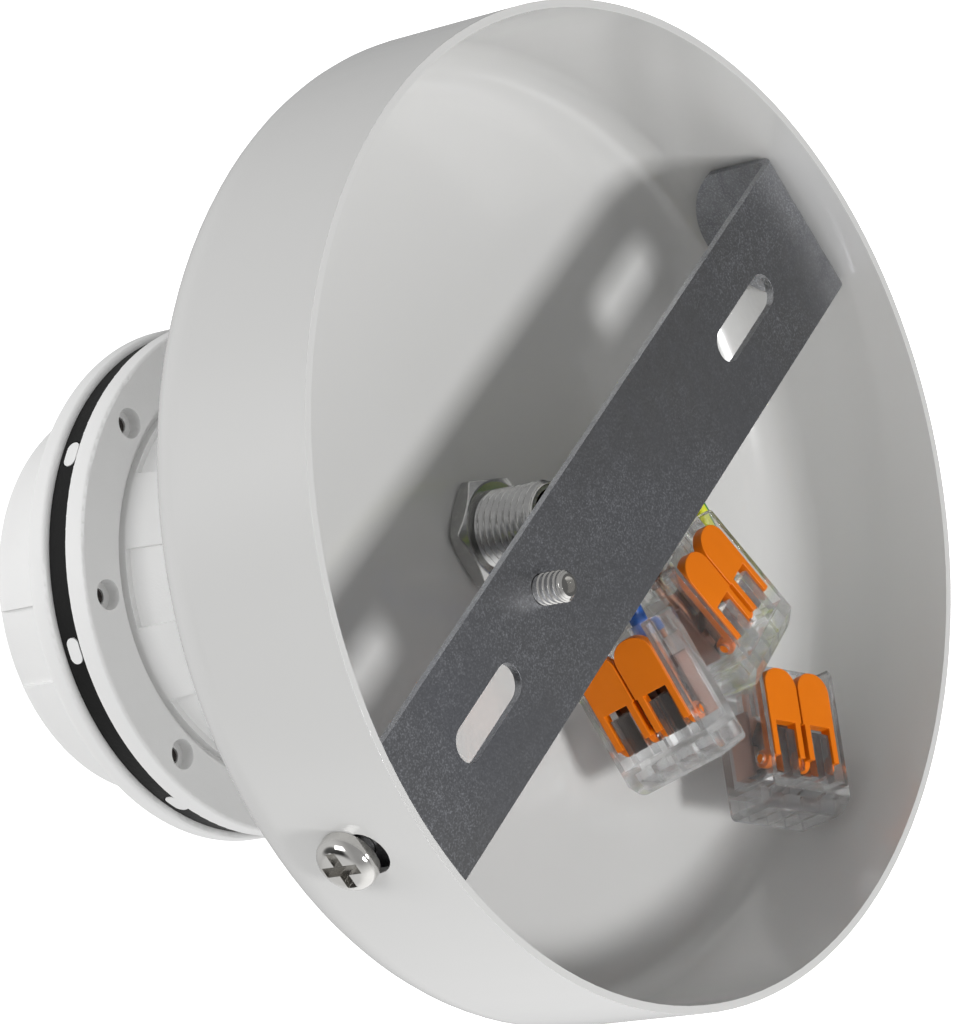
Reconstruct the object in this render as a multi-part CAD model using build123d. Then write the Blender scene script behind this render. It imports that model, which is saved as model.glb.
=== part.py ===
from build123d import *
import math
import os

# Batten lamp holder, in millimetres.
# X runs along the bracket, Z is up and the wall is on the +Y side of the rim plane.
# Shapes about the axis are drawn with z as the depth from the rim towards the lamp.

# Canopy cup
CUP_R = 60.0
CUP_DEPTH = 27.0
CUP_WALL = 1.0
CUP_CORNER_R = 8.0
KEY_HOLE_R = 2.9
KEY_HOLE_Z = 9.5
KEY_SLOT_CLEARANCE = 0.3
SIDE_SCREW_Z = 11.8

# Mounting bracket
BRACKET_W = 19.5
BRACKET_T = 1.0
BRACKET_Z = 4.5
BEND_R = 1.0
TAB_CLEARANCE = 0.3
TAB_SIDE = 10.0
TAB_BULGE = 6.0
SLOT_X = 37.0
SLOT_L = 15.0
SLOT_W = 4.5

# Screws of the cup and of the earth lead
SIDE_SCREW_R = 2.0
SIDE_SCREW_L = 8.0
SIDE_HEAD_R = 3.7
SIDE_HEAD_H = 2.4
SEAT_GAP = 0.02
THREAD_FIT = 0.05
EARTH_X = 19.0
EARTH_Y = 3.2
EARTH_R = 1.8
EARTH_TIP_Z = 0.4
EARTH_DIMPLE_R = 1.0
EARTH_DIMPLE_T = 0.5
EARTH_HEAD_R = 3.3
EARTH_HEAD_H = 2.0
WASHER_R = 3.3
WASHER_T = 0.6
RING_R = 3.4
RING_T = 0.8
BARREL_R = 1.6
BARREL_L = 6.0
BARREL_GAP = 0.2

# Threaded nipple and its nuts
NIPPLE_R = 5.0
NIPPLE_BORE_R = 3.9
NIPPLE_Z0 = 14.8
NIPPLE_HOLE_CLEARANCE = 0.2
NIPPLE_OVERRUN = 3.0
NUT_FLATS = 12.6
NUT_T = 2.6
NUT_CHAMFER = 0.5
NUT_TURN = 35.3

# Rear housing
NECK_BASE_R = 19.6
NECK_LENGTH = 34.7
NECK_WALL = 2.4
NECK_FLOOR = 3.0
PANEL_COUNT = 8
PANEL_ANGLE = 22.5
PANEL_PHASE = 35.8
PANEL_DEPTH = 0.8
ROOT_GROOVE_W = 1.2
ROOT_GROOVE_D = 1.2
FLANGE_R = 32.6
FLANGE_RIM = 7.4
FLANGE_T = 3.2
FLANGE_EDGE_R = 0.5
HOLE_COUNT = 8
HOLE_INSET = 3.7
HOLE_R = 1.9
HOLE_PHASE = 35.0
HOLE_WEB = 1.4

# Gasket, and the lugs of the front body that pass through it
GASKET_T = 3.3
GASKET_INSET = 0.8
COLLAR_SEAT = 0.5
COLLAR_FIT = 0.3
LUG_R = 1.2
LUG_INSET = 4.0
LUG_PHASE = 24.0
LUG_FIT = 0.1
LUG_FACE_W = 3.3
LUG_FACE_T = 1.9
LUG_FACE_R = 0.9

# Screws that pull the two halves together
HALF_SCREW_R = 1.0
HALF_SEAT_T = 1.6
HALF_HEAD_R = 1.9
HALF_HEAD_FIT = 0.15
HALF_HEAD_H = 1.2

# Front body
BAND_T = 3.2
NOSE_RIM = 7.3
NOSE_LENGTH = 16.8
NOSE_EDGE_R = 2.0
NOSE_PANELS = 4
NOSE_PHASE = 25.0
NOSE_WALL = 2.4
NOSE_SLEEVE_T = 1.8
NOSE_LIP_T = 3.0
MOUTH_R = 16.4
SHOULDER_R = 4.0
BAND_EDGE_R = 0.8

# Socket insert, screw shell and contacts
INSERT_WALL = 3.1
INSERT_FIT = 0.15
INSERT_BACK_Z = 48.0
INSERT_BASE_T = 7.0
INSERT_FRONT_GAP = 0.3
SHELL_R = 13.5
SHELL_T = 0.6
SHELL_FIT = 0.3
SHELL_LIFT = 3.0
SHELL_SET_BACK = 0.8
CONTACT_T = 0.7
CONTACT_W = 5.0
CONTACT_OFFSET = 5.6
CONTACT_FIT = 0.15
TERMINAL_OFFSET = 9.6
TERMINAL_R = 1.5
TERMINAL_L = 4.0
TERMINAL_HEAD_R = 2.6
TERMINAL_HEAD_H = 1.5

# Splice connectors
CONN_L = 18.6
CONN_W = 13.1
CONN_H = 8.3
CONN_SIDE = 0.7
CONN_FLOOR = 1.0
CONN_FRONT = 3.0
CONN_ROOF = 0.7
CONN_RIB = 0.4
CONN_EDGE_R = 0.8
REAR_SLOPE = 2.0
REAR_WALL = 0.9
REAR_RIB = 0.6
LEVER_T = 1.5
LEVER_GAP = 0.3
LEVER_TIP_L = 0.8
LEVER_SOLID_L = 7.0
LEVER_TIP_R = 2.5
ARM_T = 0.9
ARM_RIB_GAP = 0.2
PIVOT_L = 12.4
PIVOT_DROP = 2.1
PIVOT_DISC_R = 1.15
PIN_R = 0.6
PIN_CLEARANCE = 0.06
PIN_INSET = 0.25
WINDOW_L = 6.8
LENS_L0 = 8.7
LENS_GAP = 0.25
LENS_DROP = 0.2
LENS_LIFT = 0.25
PORT_W = 3.1
PORT_H = 2.9
PORT_CLEARANCE = 0.2
BAR_L0 = 5.5
BAR_L = 8.2
BAR_CLEARANCE = 0.15
BAR_SIDE_T = 0.5
BAR_SIDE_H = 4.2
SPRING_T = 0.5
SPRING_W = 3.0
SPRING_TOP = 5.3
SPRING_NOSE_L = 7.2

# Leads
LEAD_R = 1.1
COPPER_R = 0.7
COPPER_GAP = 0.05
LEAD_IN = 2.0
COPPER_IN = 9.0
LEAD_PITCH = 1.7
LEAD_TURN = 4.1
STRIP_RUN = 3.8
STRIP_RISE = 0.6
NECK_RUN = 7.0
PORT_RUN = 3.6
EARTH_RUN = 5.5
EARTH_PORT_RUN = 4.5

# Splices in the cup: the gap from their outermost corner to the wall, and the way they move with it
SPLICE_WALL_GAP = 0.607
SPLICE_OUT = (-0.14, 0, -0.99)

# Places of the connectors: origin, length direction and top direction
CONNECTOR_PLACES = [
    ((-2.82, -16.77, -18.94), (0.3327, 0.2500, -0.9093), (0.8985, 0.2086, 0.3862)),
    ((-12.42, -18.04, -16.41), (0.0275, 0.1949, -0.9804), (-0.1169, 0.9746, 0.1904)),
    ((-18.07, -19.46, -41.28), (0.7587, 0.1832, -0.6251), (-0.0540, 0.9739, 0.2199)),
]



def splice_reach():
    """How far the outermost corner of a connector's box is from the cup's axis."""
    reach = 0
    for origin, length_dir, top_dir in CONNECTOR_PLACES:
        box = Plane(origin, x_dir=length_dir, z_dir=top_dir)
        for x in (0, CONN_L):
            for y in (-CONN_W / 2, CONN_W / 2):
                for z in (0, CONN_H):
                    corner = box.from_local_coords(Vector(x, y, z))
                    reach = max(reach, math.hypot(corner.X, corner.Z))
    return reach


# Sizes that follow
WALL_PLANE = Plane((0, 0, 0), x_dir=(1, 0, 0), z_dir=(0, -1, 0))
LOW = (Align.CENTER, Align.CENTER, Align.MIN)
CUP_IN_R = CUP_R - CUP_WALL
CUP_FLOOR_Z = CUP_DEPTH - CUP_WALL
TAB_X = math.sqrt(CUP_IN_R**2 - (BRACKET_W / 2) ** 2) - TAB_CLEARANCE
TAB_LENGTH = TAB_SIDE + TAB_BULGE
BRACKET_BACK_Z = BRACKET_Z + BRACKET_T
SPLICE_SHIFT = CUP_IN_R - SPLICE_WALL_GAP - splice_reach()
NECK_TOP_R = FLANGE_R - FLANGE_RIM
NOSE_R = FLANGE_R - NOSE_RIM
HOLE_CIRCLE_R = FLANGE_R - HOLE_INSET
LUG_CIRCLE_R = FLANGE_R - LUG_INSET
GASKET_R = FLANGE_R - GASKET_INSET
COLLAR_R = NECK_TOP_R - NECK_WALL + COLLAR_SEAT
GASKET_IN_R = COLLAR_R + COLLAR_FIT
FLANGE_Z = CUP_DEPTH + NECK_LENGTH
GASKET_Z = FLANGE_Z + FLANGE_T
FRONT_Z = GASKET_Z + GASKET_T
NOSE_Z = FRONT_Z + NOSE_LENGTH
MOUTH_Z = NOSE_Z - NOSE_LIP_T
INSERT_BORE_R = SHELL_R + SHELL_T + SHELL_FIT
INSERT_R = INSERT_BORE_R + INSERT_WALL
INSERT_FLOOR_Z = INSERT_BACK_Z + INSERT_BASE_T
INSERT_FRONT_Z = MOUTH_Z - INSERT_FRONT_GAP
SHELL_Z = INSERT_FLOOR_Z + SHELL_LIFT
NECK_NUT_Z = CUP_DEPTH + NECK_FLOOR
NIPPLE_Z1 = NECK_NUT_Z + NUT_T + NIPPLE_OVERRUN
BORE_R = NIPPLE_R + THREAD_FIT
PIVOT_H = CONN_H - PIVOT_DROP
REAR_L = PIVOT_L + PIVOT_DROP + LEVER_GAP
LEVER_BASE_H = CONN_H - LEVER_T
DECK_H = LEVER_BASE_H - LEVER_GAP
BAY_W = CONN_W / 2 - CONN_SIDE
LEVER_OUT_W = BAY_W - LEVER_GAP
LEVER_IN_W = LEVER_GAP / 2
ARM_IN_W = CONN_RIB / 2 + ARM_RIB_GAP
BAR_TOP = PORT_H - COPPER_R - COPPER_GAP
FOOT_Z = INSERT_BACK_Z - CONTACT_T


def at_depth(shape, depth):
    """Move a shape along the axis to a depth below the rim plane."""
    return Pos(0, 0, depth) * shape


def rod(radius, depth, end):
    """A plain cylinder about the axis from one depth to another."""
    return at_depth(Cylinder(radius, end - depth, align=LOW), depth)


def on_wall(shape):
    """Place a shape drawn about the axis into the part's frame."""
    return WALL_PLANE.location * shape


def around(count, phase, radius):
    """Places at even steps on a circle about the axis."""
    return [Rot(0, 0, phase + 360 / count * i) * Pos(radius, 0, 0) for i in range(count)]


def circles(shape):
    return shape.edges().filter_by(GeomType.CIRCLE)


def span_box(x0, x1, y0, y1, z0, z1):
    """A box between two corners."""
    centre = Pos((x0 + x1) / 2, (y0 + y1) / 2, (z0 + z1) / 2)
    return centre * Box(x1 - x0, y1 - y0, z1 - z0)


# Canopy cup


def keyhole(side):
    """The cutter for one side hole: a round end that narrows to the screw."""
    depth = CUP_R / 4
    slot_r = SIDE_SCREW_R + KEY_SLOT_CLEARANCE
    across = Rot(0, 90, 0)
    hole = Pos(0, 0, KEY_HOLE_Z) * across * Cylinder(KEY_HOLE_R, depth)
    end = Pos(0, 0, SIDE_SCREW_Z) * across * Cylinder(slot_r, depth)
    slot = span_box(-depth / 2, depth / 2, -slot_r, slot_r, KEY_HOLE_Z, SIDE_SCREW_Z)
    return Pos(side * CUP_R, 0, 0) * (hole + end + slot)


def canopy_cup():
    outer = rod(CUP_R, 0, CUP_DEPTH)
    outer = fillet(circles(outer).sort_by(Axis.Z)[-1], CUP_CORNER_R)
    inner = rod(CUP_IN_R, 0, CUP_FLOOR_Z)
    inner = fillet(circles(inner).sort_by(Axis.Z)[-1], CUP_CORNER_R - CUP_WALL)
    cup = outer - inner
    cup -= rod(NIPPLE_R + NIPPLE_HOLE_CLEARANCE, CUP_FLOOR_Z - CUP_WALL, CUP_DEPTH + CUP_WALL)
    for side in (-1, 1):
        cup -= keyhole(side)
    return cup


# Mounting bracket


def tab_outline():
    """The strip's outline seen along its length, with the rounded tab end."""
    half = BRACKET_W / 2
    side_z = BRACKET_Z + TAB_SIDE
    top_z = BRACKET_Z - BRACKET_T
    sides = Polyline((half, side_z), (half, top_z), (-half, top_z), (-half, side_z))
    end = ThreePointArc((-half, side_z), (0, BRACKET_Z + TAB_LENGTH), (half, side_z))
    face = Plane.YZ * make_face([sides, end])
    return extrude(face, TAB_X + BRACKET_T, both=True)


def mounting_bracket():
    length = TAB_LENGTH + BRACKET_T
    outer = at_depth(Box(2 * TAB_X, BRACKET_W, length, align=LOW), BRACKET_Z)
    bends = outer.edges().filter_by(Axis.Y).group_by(Axis.Z)[0]
    outer = fillet(bends, BEND_R + BRACKET_T)
    inner = at_depth(Box(2 * (TAB_X - BRACKET_T), 2 * BRACKET_W, length, align=LOW), BRACKET_BACK_Z)
    bends = inner.edges().filter_by(Axis.Y).group_by(Axis.Z)[0]
    inner = fillet(bends, BEND_R)
    strip = (outer - inner) & tab_outline()
    for side in (-1, 1):
        slot = Pos(side * SLOT_X, 0, BRACKET_Z) * SlotOverall(SLOT_L, SLOT_W)
        strip -= extrude(slot, 2 * BRACKET_T, both=True)
        hole = Rot(0, 90, 0) * Cylinder(SIDE_SCREW_R + THREAD_FIT, 4 * BRACKET_T)
        strip -= Pos(side * TAB_X, 0, SIDE_SCREW_Z) * hole
    strip -= Pos(EARTH_X, EARTH_Y, BRACKET_Z) * Cylinder(EARTH_R + THREAD_FIT, 4 * BRACKET_T)
    return strip


# Screws


def cross_screw(radius, length, head_r, head_h):
    """A pan-head screw with a cross recess; the head stands on z = 0, the shank below it."""
    head = Cylinder(head_r, head_h, align=LOW)
    head = fillet(circles(head).sort_by(Axis.Z)[-1], 0.6 * head_h)
    for turn in (0, 90):
        bar = Box(1.35 * head_r, 0.36 * head_r, head_h, align=LOW)
        head -= Pos(0, 0, 0.3 * head_h) * Rot(0, 0, turn) * bar
    shank = Cylinder(radius, length, align=LOW)
    shank = chamfer(circles(shank).sort_by(Axis.Z)[0], 0.25 * radius)
    return head + Pos(0, 0, -length) * shank


def side_screws():
    screw = cross_screw(SIDE_SCREW_R, SIDE_SCREW_L, SIDE_HEAD_R, SIDE_HEAD_H)
    seat = CUP_R + SEAT_GAP
    return [Pos(s * seat, 0, SIDE_SCREW_Z) * Rot(0, 90 * s, 0) * screw for s in (-1, 1)]


def earth_screw():
    seat_z = BRACKET_BACK_Z + RING_T + WASHER_T
    screw = cross_screw(EARTH_R, seat_z - EARTH_TIP_Z, EARTH_HEAD_R, EARTH_HEAD_H)
    dimple = Cylinder(EARTH_DIMPLE_R, 2 * EARTH_DIMPLE_T)
    return Pos(EARTH_X, EARTH_Y, seat_z) * screw - Pos(EARTH_X, EARTH_Y, EARTH_TIP_Z) * dimple


def earth_washer():
    hole = EARTH_R + THREAD_FIT
    washer = Cylinder(WASHER_R, WASHER_T, align=LOW) - Cylinder(hole, 3 * WASHER_T)
    for place in around(12, 0, WASHER_R):
        washer -= place * Box(0.35 * WASHER_R, 0.14 * WASHER_R, 3 * WASHER_T)
    return Pos(EARTH_X, EARTH_Y, BRACKET_BACK_Z + RING_T) * washer


def barrel_centre():
    """Start of the ring terminal's barrel, on its own axis."""
    return (EARTH_X - RING_R, EARTH_Y, BRACKET_BACK_Z + BARREL_GAP + BARREL_R)


def earth_terminal():
    x, y, z = barrel_centre()
    ring = Pos(EARTH_X, EARTH_Y, BRACKET_BACK_Z) * Cylinder(RING_R, RING_T, align=LOW)
    neck = span_box(x - RING_T, EARTH_X, y - BARREL_R, y + BARREL_R, BRACKET_BACK_Z, BRACKET_BACK_Z + RING_T)
    along = Pos(x - BARREL_L / 2, y, z) * Rot(0, 90, 0)
    terminal = ring + neck + along * Cylinder(BARREL_R, BARREL_L)
    terminal -= along * Cylinder(COPPER_R + COPPER_GAP, 2 * BARREL_L)
    terminal -= Pos(EARTH_X, EARTH_Y, BRACKET_BACK_Z) * Cylinder(EARTH_R + THREAD_FIT, 4 * RING_T)
    return terminal


# Nipple and nuts


def threaded_nipple():
    tube = rod(NIPPLE_R, NIPPLE_Z0, NIPPLE_Z1)
    tube = chamfer(circles(tube), 0.5 * (NIPPLE_R - NIPPLE_BORE_R))
    return tube - rod(NIPPLE_BORE_R, NIPPLE_Z0 - 1, NIPPLE_Z1 + 1)


def hex_nut(depth):
    corner_r = NUT_FLATS / math.sqrt(3)
    nut = extrude(RegularPolygon(corner_r, 6), NUT_T)
    blank = Cylinder(corner_r, NUT_T, align=LOW)
    nut &= chamfer(circles(blank), NUT_CHAMFER)
    nut -= Cylinder(BORE_R, 3 * NUT_T)
    return at_depth(Rot(0, 0, NUT_TURN) * nut, depth)


# Lamp holder, rear half


def cone(base_r, top_r, depth, end):
    """A solid cone frustum about the axis."""
    return loft([Pos(0, 0, depth) * Circle(base_r), Pos(0, 0, end) * Circle(top_r)])


def panels(skin, count, phase, depth, end):
    """The parts of a skin that lie in even sectors about the axis."""
    half = math.radians(PANEL_ANGLE / 2)
    reach = 2 * FLANGE_R
    corner = (reach * math.cos(half), reach * math.sin(half))
    wedge = make_face(Polyline((0, 0), (corner[0], -corner[1]), corner, close=True))
    sector = at_depth(extrude(wedge, end - depth), depth)
    return [skin & (Rot(0, 0, phase + 360 / count * i) * sector) for i in range(count)]


def rear_housing():
    neck = cone(NECK_BASE_R, NECK_TOP_R, CUP_DEPTH, FLANGE_Z)
    skin = neck - cone(NECK_BASE_R - PANEL_DEPTH, NECK_TOP_R - PANEL_DEPTH, CUP_DEPTH, FLANGE_Z)
    for panel in panels(skin, PANEL_COUNT, PANEL_PHASE, NECK_NUT_Z, FLANGE_Z):
        neck -= panel
    flange = rod(FLANGE_R, FLANGE_Z, GASKET_Z)
    flange = fillet(circles(flange), FLANGE_EDGE_R)
    flange -= rod(NECK_TOP_R + ROOT_GROOVE_W, FLANGE_Z - 1, FLANGE_Z + ROOT_GROOVE_D)
    root = rod(NECK_TOP_R, FLANGE_Z, FLANGE_Z + ROOT_GROOVE_D)
    housing = neck + flange + root
    inner_top = NECK_TOP_R - NECK_WALL
    housing -= cone(NECK_BASE_R - NECK_WALL, inner_top, NECK_NUT_Z, FLANGE_Z)
    housing -= rod(inner_top, FLANGE_Z, GASKET_Z + 1)
    housing -= rod(NIPPLE_R + NIPPLE_HOLE_CLEARANCE, CUP_DEPTH - NECK_FLOOR, NECK_NUT_Z + NECK_FLOOR)
    for place in around(HOLE_COUNT, HOLE_PHASE, HOLE_CIRCLE_R):
        housing -= place * rod(HOLE_R, FLANGE_Z - FLANGE_T, GASKET_Z - HOLE_WEB)
        housing -= place * rod(HALF_SCREW_R + THREAD_FIT, FLANGE_Z, GASKET_Z + FLANGE_T)
    return housing


def lugs(fit):
    """Pins through the gasket, each with a rounded face that shows at the gasket's rim."""
    pin = rod(LUG_R + fit, GASKET_Z + SEAT_GAP - fit, FRONT_Z + fit)
    face = Box(GASKET_R - LUG_CIRCLE_R + 1, LUG_FACE_W + 2 * fit, LUG_FACE_T + 2 * fit)
    face = fillet(face.edges().filter_by(Axis.X), LUG_FACE_R)
    face = Pos((GASKET_R - LUG_CIRCLE_R + 1) / 2, 0, (GASKET_Z + FRONT_Z) / 2) * face
    trim = rod(GASKET_R + fit, GASKET_Z - 1, FRONT_Z + 1)
    return [(place * (pin + face)) & trim for place in around(HOLE_COUNT, LUG_PHASE, LUG_CIRCLE_R)]


def gasket():
    seal = rod(GASKET_R, GASKET_Z, FRONT_Z) - rod(GASKET_IN_R, GASKET_Z - 1, FRONT_Z + 1)
    for place in around(HOLE_COUNT, HOLE_PHASE, HOLE_CIRCLE_R):
        seal -= place * rod(HALF_SCREW_R + THREAD_FIT, GASKET_Z - 1, FRONT_Z + 1)
    for lug in lugs(LUG_FIT):
        seal -= lug
    return seal


def half_screws():
    """Screws put in from the front, whose ends stay below the flange's rear face."""
    seat_z = FRONT_Z + HALF_SEAT_T
    length = HALF_SEAT_T + GASKET_T + HOLE_WEB
    screw = at_depth(cross_screw(HALF_SCREW_R, length, HALF_HEAD_R, HALF_HEAD_H), seat_z)
    return [place * screw for place in around(HOLE_COUNT, HOLE_PHASE, HOLE_CIRCLE_R)]


# Lamp holder, front half


def holder_body():
    band = rod(FLANGE_R, FRONT_Z, FRONT_Z + BAND_T)
    body = band + rod(NOSE_R, FRONT_Z, NOSE_Z)
    corner = [e for e in circles(body) if abs(e.radius - NOSE_R) < 0.01]
    body = fillet(ShapeList(corner).sort_by(Axis.Z)[0], SHOULDER_R)
    corner = [e for e in circles(body) if abs(e.radius - NOSE_R) < 0.01]
    body = fillet(ShapeList(corner).sort_by(Axis.Z)[-1], NOSE_EDGE_R)
    corner = [e for e in circles(body) if abs(e.radius - FLANGE_R) < 0.01]
    body = fillet(corner, BAND_EDGE_R)
    panel_z = FRONT_Z + BAND_T + SHOULDER_R
    skin = rod(FLANGE_R, panel_z, NOSE_Z + 1) - rod(NOSE_R - PANEL_DEPTH, panel_z - 1, NOSE_Z + 2)
    for panel in panels(skin, NOSE_PANELS, NOSE_PHASE, panel_z, NOSE_Z + 1):
        body -= panel
    sleeve_r = INSERT_R + INSERT_FIT + NOSE_SLEEVE_T
    body -= rod(NOSE_R - NOSE_WALL, FRONT_Z - 1, MOUTH_Z) - rod(sleeve_r, FRONT_Z - 2, MOUTH_Z + 1)
    body -= rod(INSERT_R + INSERT_FIT, FRONT_Z - 1, MOUTH_Z)
    body -= rod(MOUTH_R, FRONT_Z, NOSE_Z + 1)
    for place in around(HOLE_COUNT, HOLE_PHASE, HOLE_CIRCLE_R):
        body -= place * rod(HALF_SCREW_R + THREAD_FIT, FRONT_Z - 1, NOSE_Z)
        body -= place * rod(HALF_HEAD_R + HALF_HEAD_FIT, FRONT_Z + HALF_SEAT_T - SEAT_GAP, NOSE_Z)
    for lug in lugs(0):
        body += lug
    return body


# Socket inside the lamp holder


def leg_slit(x):
    """The slit in the insert's base that lets a contact's leg through."""
    slit = Box(CONTACT_T + 2 * CONTACT_FIT, CONTACT_W + 2 * CONTACT_FIT, 4 * INSERT_BASE_T)
    return Pos(x, 0, INSERT_BACK_Z) * slit


def socket_insert():
    """A ceramic cup whose collar is held between the two halves of the lamp holder."""
    insert = rod(INSERT_R, INSERT_BACK_Z, INSERT_FRONT_Z)
    insert += rod(COLLAR_R, GASKET_Z + SEAT_GAP, FRONT_Z - SEAT_GAP)
    insert -= rod(INSERT_BORE_R, INSERT_FLOOR_Z, INSERT_FRONT_Z + 1)
    insert -= leg_slit(-CONTACT_OFFSET)
    insert -= leg_slit(shell_leg_x())
    for side in (-1, 1):
        tap = rod(TERMINAL_R + THREAD_FIT, INSERT_BACK_Z - 1, INSERT_BACK_Z + TERMINAL_L)
        insert -= Pos(side * TERMINAL_OFFSET, 0, 0) * tap
    return insert


def shell_leg_x():
    return SHELL_R - CONTACT_T / 2


def terminal_foot(inner, outer):
    """The flat end of a contact under its terminal screw, with the screw's hole."""
    x0, x1 = sorted((inner, outer))
    foot = span_box(x0, x1, -CONTACT_W / 2, CONTACT_W / 2, FOOT_Z, INSERT_BACK_Z)
    side = 1 if outer > 0 else -1
    return foot - Pos(side * TERMINAL_OFFSET, 0, FOOT_Z) * Cylinder(TERMINAL_R + THREAD_FIT, 4 * CONTACT_T)


def screw_shell():
    """The threaded shell for the lamp's cap, with a leg down to its terminal."""
    outer_r = SHELL_R + SHELL_T
    end = INSERT_FRONT_Z - SHELL_SET_BACK
    shell = rod(outer_r, SHELL_Z, end) - rod(SHELL_R, SHELL_Z - 1, end + 1)
    x = shell_leg_x()
    half = CONTACT_W / 2
    leg = span_box(x - CONTACT_T / 2, x + CONTACT_T / 2, -half, half, FOOT_Z, SHELL_Z - CONTACT_T)
    step = span_box(x - CONTACT_T / 2, outer_r, -half, half, SHELL_Z - CONTACT_T, SHELL_Z)
    foot = terminal_foot(TERMINAL_OFFSET - TERMINAL_HEAD_R, x + CONTACT_T / 2)
    return shell + (step & rod(outer_r, FOOT_Z, SHELL_Z)) + leg + foot


def centre_contact():
    """The tongue that bears on the lamp's tip, with a leg down to its terminal."""
    x = -CONTACT_OFFSET
    half = CONTACT_W / 2
    tongue_z = INSERT_FLOOR_Z + 0.5 * SHELL_LIFT
    leg = span_box(x - CONTACT_T / 2, x + CONTACT_T / 2, -half, half, FOOT_Z, tongue_z)
    tongue = span_box(x - CONTACT_T / 2, CONTACT_W / 2, -half, half, tongue_z, tongue_z + CONTACT_T)
    foot = terminal_foot(x + CONTACT_T / 2, -TERMINAL_OFFSET - TERMINAL_HEAD_R)
    return leg + tongue + foot


def terminal_screws():
    seat_z = FOOT_Z - 2 * COPPER_R - COPPER_GAP
    length = INSERT_BACK_Z + TERMINAL_L - THREAD_FIT - seat_z
    screw = cross_screw(TERMINAL_R, length, TERMINAL_HEAD_R, TERMINAL_HEAD_H)
    turned = at_depth(Rot(180, 0, 0) * screw, seat_z)
    return [Pos(side * TERMINAL_OFFSET, 0, 0) * turned for side in (-1, 1)]


# Splice connectors, drawn with x along the length, y across and z up


def cross_rod(radius, y0, y1):
    """A round rod across the connector on the levers' pivot."""
    rod_y = Rot(90, 0, 0) * Cylinder(radius, abs(y1 - y0))
    return Pos(PIVOT_L, (y0 + y1) / 2, PIVOT_H) * rod_y


def connector_housing():
    """A clear box whose rear block has four pockets below and a lens into each lever's window."""
    half = CONN_W / 2
    box = span_box(0, CONN_L, -half, half, 0, CONN_H)
    box = chamfer(box.edges().filter_by(Axis.Y).group_by(Axis.X)[-1].sort_by(Axis.Z)[-1], REAR_SLOPE)
    box = fillet(box.edges().filter_by(Axis.Z), CONN_EDGE_R)
    box -= span_box(-1, REAR_L, -BAY_W, BAY_W, DECK_H, CONN_H + 1)
    lens_y0 = ARM_IN_W + ARM_T + LENS_GAP
    lens_y1 = LEVER_OUT_W - ARM_T - LENS_GAP
    rear_end = CONN_L - REAR_WALL
    rear_top = CONN_H - REAR_SLOPE - REAR_WALL
    pocket_w = (BAY_W - 1.5 * REAR_RIB) / 2
    for side in (-1, 1):
        y0, y1 = sorted((side * CONN_RIB / 2, side * BAY_W))
        box -= span_box(CONN_FRONT, REAR_L, y0, y1, CONN_FLOOR, DECK_H - CONN_ROOF)
        box -= span_box(WINDOW_L, REAR_L, y0, y1, CONN_FLOOR, DECK_H + 1)
        for start in (REAR_RIB / 2, 1.5 * REAR_RIB + pocket_w):
            y0, y1 = sorted((side * start, side * (start + pocket_w)))
            box -= span_box(REAR_L + REAR_WALL, rear_end, y0, y1, -1, rear_top)
        port = Rot(0, 90, 0) * Cylinder(LEAD_R + PORT_CLEARANCE, 4 * CONN_FRONT)
        box -= Pos(0, side * PORT_W, PORT_H) * port
        y0, y1 = sorted((side * lens_y0, side * lens_y1))
        box += span_box(LENS_L0, REAR_L + REAR_WALL, y0, y1, SPRING_TOP + LENS_LIFT, CONN_H - LENS_DROP)
    bar_start = BAR_L0 - BAR_CLEARANCE
    bar_end = BAR_L0 + BAR_L + BAR_CLEARANCE
    box -= span_box(bar_start, bar_end, -CONN_RIB, CONN_RIB, CONN_FLOOR, BAR_TOP + BAR_CLEARANCE)
    ear_l = PIVOT_DISC_R
    half_rib = CONN_RIB / 2
    ear_base = DECK_H - CONN_ROOF
    box += span_box(PIVOT_L - ear_l, PIVOT_L + ear_l, -half_rib, half_rib, ear_base, PIVOT_H + ear_l)
    for y0, y1 in ((-half, -lens_y1), (-lens_y0, lens_y0), (lens_y1, half)):
        box -= cross_rod(PIN_R + PIN_CLEARANCE, y0, y1)
    return box


def connector_lever(side):
    """A fork: a solid rounded tip, two arms with round ends and a pin on each arm."""
    plate = span_box(
        LEVER_TIP_L, LEVER_TIP_L + LEVER_SOLID_L, LEVER_IN_W, LEVER_OUT_W, LEVER_BASE_H, CONN_H
    )
    plate = fillet(plate.edges().filter_by(Axis.Z).group_by(Axis.X)[0], LEVER_TIP_R)
    lever = plate
    arm_l0 = LEVER_TIP_L + 0.9 * LEVER_SOLID_L
    for y0, y1 in ((ARM_IN_W, ARM_IN_W + ARM_T), (LEVER_OUT_W - ARM_T, LEVER_OUT_W)):
        lever += span_box(arm_l0, PIVOT_L, y0, y1, LEVER_BASE_H, CONN_H)
        lever += cross_rod(PIVOT_DISC_R, y0, y1)
    lever += cross_rod(PIN_R, LEVER_OUT_W - ARM_T, CONN_W / 2 - PIN_INSET)
    lever += cross_rod(PIN_R, CONN_RIB / 4, ARM_IN_W + ARM_T)
    return lever if side > 0 else mirror(lever, about=Plane.XZ)


def connector_bar():
    """The bar under both wires, turned up along the housing's two sides."""
    reach = PORT_W + SPRING_W / 2 + BAR_CLEARANCE
    end = BAR_L0 + BAR_L
    bar = span_box(BAR_L0, end, -reach, reach, CONN_FLOOR, BAR_TOP)
    for y0, y1 in ((-reach - BAR_SIDE_T, -reach), (reach, reach + BAR_SIDE_T)):
        bar += span_box(BAR_L0, end, y0, y1, CONN_FLOOR, BAR_SIDE_H)
    return bar


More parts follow.
